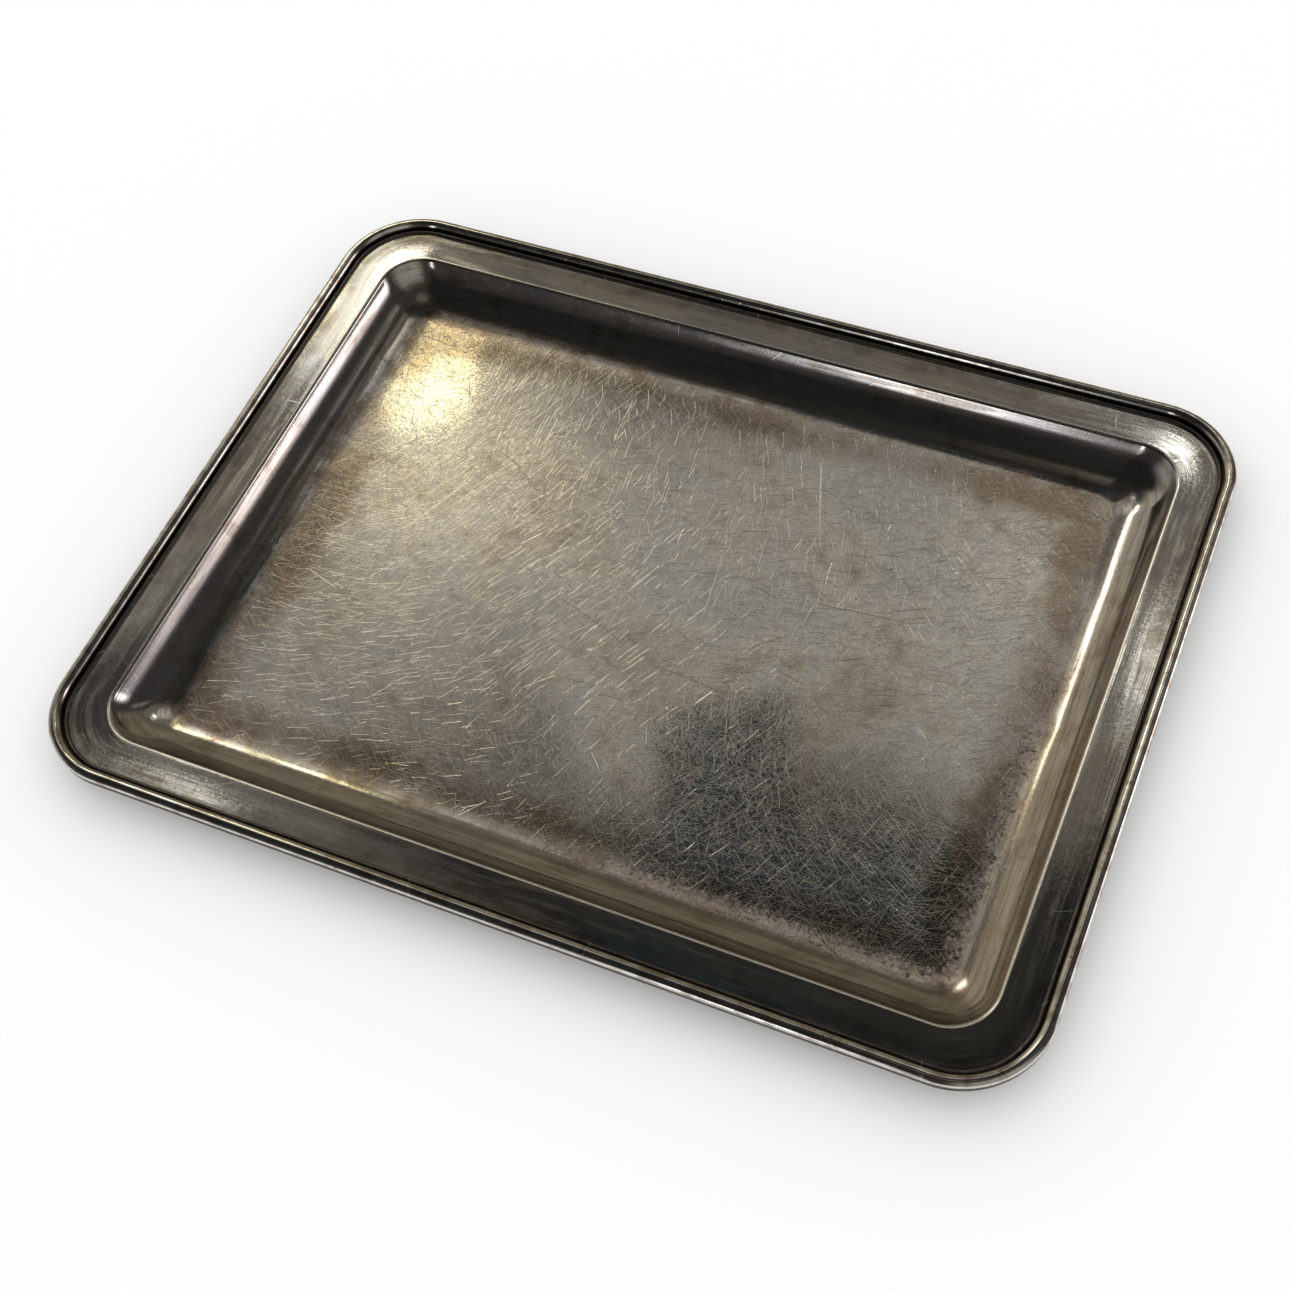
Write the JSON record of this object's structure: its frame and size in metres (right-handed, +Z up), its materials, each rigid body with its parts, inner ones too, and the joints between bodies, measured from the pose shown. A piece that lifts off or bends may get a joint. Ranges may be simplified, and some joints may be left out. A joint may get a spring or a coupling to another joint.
{
  "type": "dresser vanity tray",
  "caption": "Low rectangular metal tray with rounded corners, a shallow flat-floored well, a wide flange and a reeded wire border, for standing bottles and small things on a dresser.",
  "frame": {"origin": "middle of the flat underside, where the tray rests", "axes": "+X along the long side, +Y along the short side, +Z up out of the well"},
  "size_m": [0.28, 0.216, 0.0131],
  "materials": {
    "plated_sheet": "satin",
    "plated_wire": "gloss"
  },
  "bodies": {
    "root": {"tray_body": "plated_sheet", "border_bead": "plated_wire", "border_thread": "plated_wire"}
  },
  "joints": []
}
